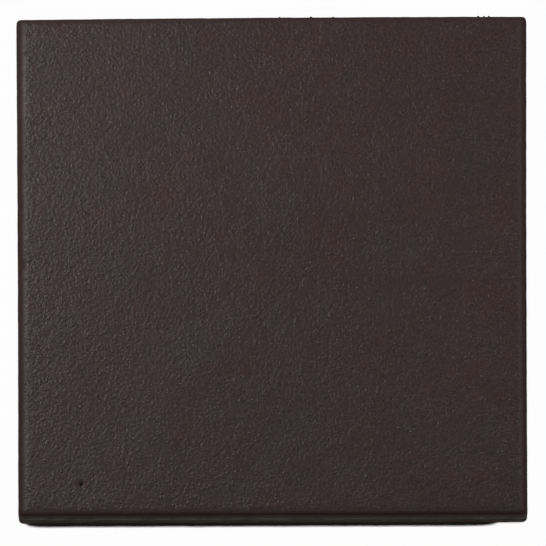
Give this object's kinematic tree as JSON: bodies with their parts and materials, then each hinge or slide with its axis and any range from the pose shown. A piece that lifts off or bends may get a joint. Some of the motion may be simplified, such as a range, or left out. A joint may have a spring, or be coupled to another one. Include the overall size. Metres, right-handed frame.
{
  "type": "quarry tile",
  "caption": "Square unglazed fired-clay quarry tile with rounded edges, a fine-grained wearing face and a keyed back for bedding in mortar.",
  "frame": {"origin": "middle of the bedding plane, the plane of the back's lands", "axes": "+Z out of the wearing face, +X along the keying grooves of the back, +Y across them"},
  "size_m": [0.148, 0.148, 0.0125],
  "materials": {
    "fired_clay": "satin"
  },
  "bodies": {
    "root": {"tile": "fired_clay"}
  },
  "joints": []
}
